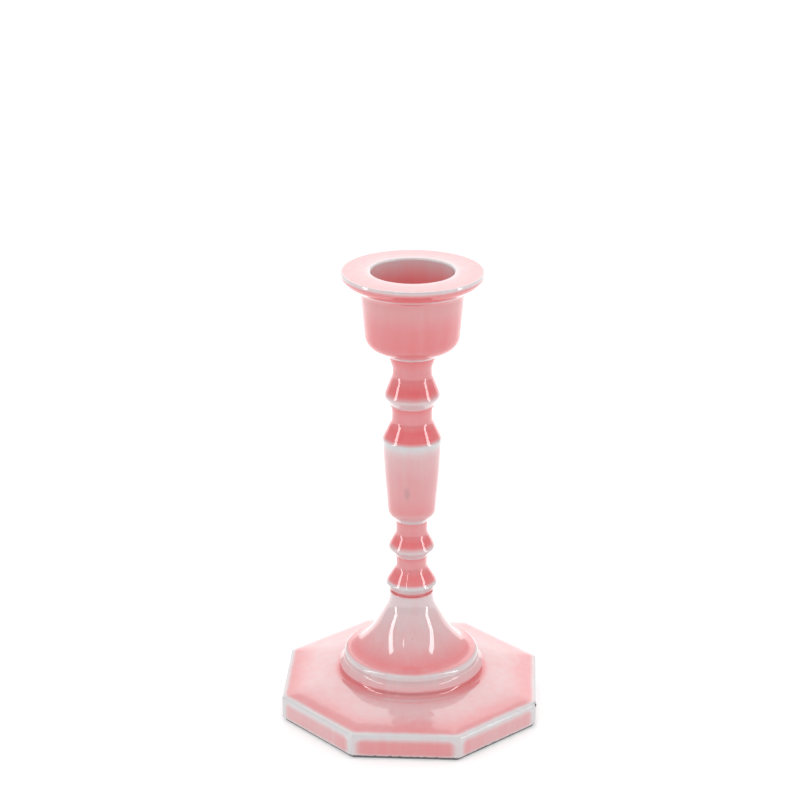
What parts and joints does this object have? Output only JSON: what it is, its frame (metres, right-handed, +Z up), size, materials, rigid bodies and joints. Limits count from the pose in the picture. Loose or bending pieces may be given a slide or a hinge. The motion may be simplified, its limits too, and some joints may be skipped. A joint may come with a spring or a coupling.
{
  "type": "candlestick",
  "caption": "Turned candlestick for a taper candle: flanged cup, knopped baluster stem and flared foot on a crowned octagonal plate, clamped by a hidden tie rod.",
  "frame": {"origin": "centre of the underside, on the surface the candlestick stands on", "axes": "+Z up along the turning axis and the candle, +X through the middle of one flat of the octagonal plate"},
  "size_m": [0.0712, 0.0712, 0.1282],
  "materials": {
    "enamel": "glossy translucent pink vitreous enamel over a pale ground, thin and grey-white on edges, deep pink in grooves",
    "zinc_steel": "zinc-plated steel",
    "felt": "grey pressed felt"
  },
  "bodies": {
    "root": {"drip_pan": "enamel", "candle_cup": "enamel", "upper_knop": "enamel", "baluster": "enamel", "lower_knop": "enamel", "ring_collar": "enamel", "bell_foot": "enamel", "base_plate": "enamel", "tie_rod": "zinc_steel", "plain_washer": "zinc_steel", "spring_washer": "zinc_steel", "hex_nut": "zinc_steel", "felt_pad": "felt"}
  },
  "joints": []
}
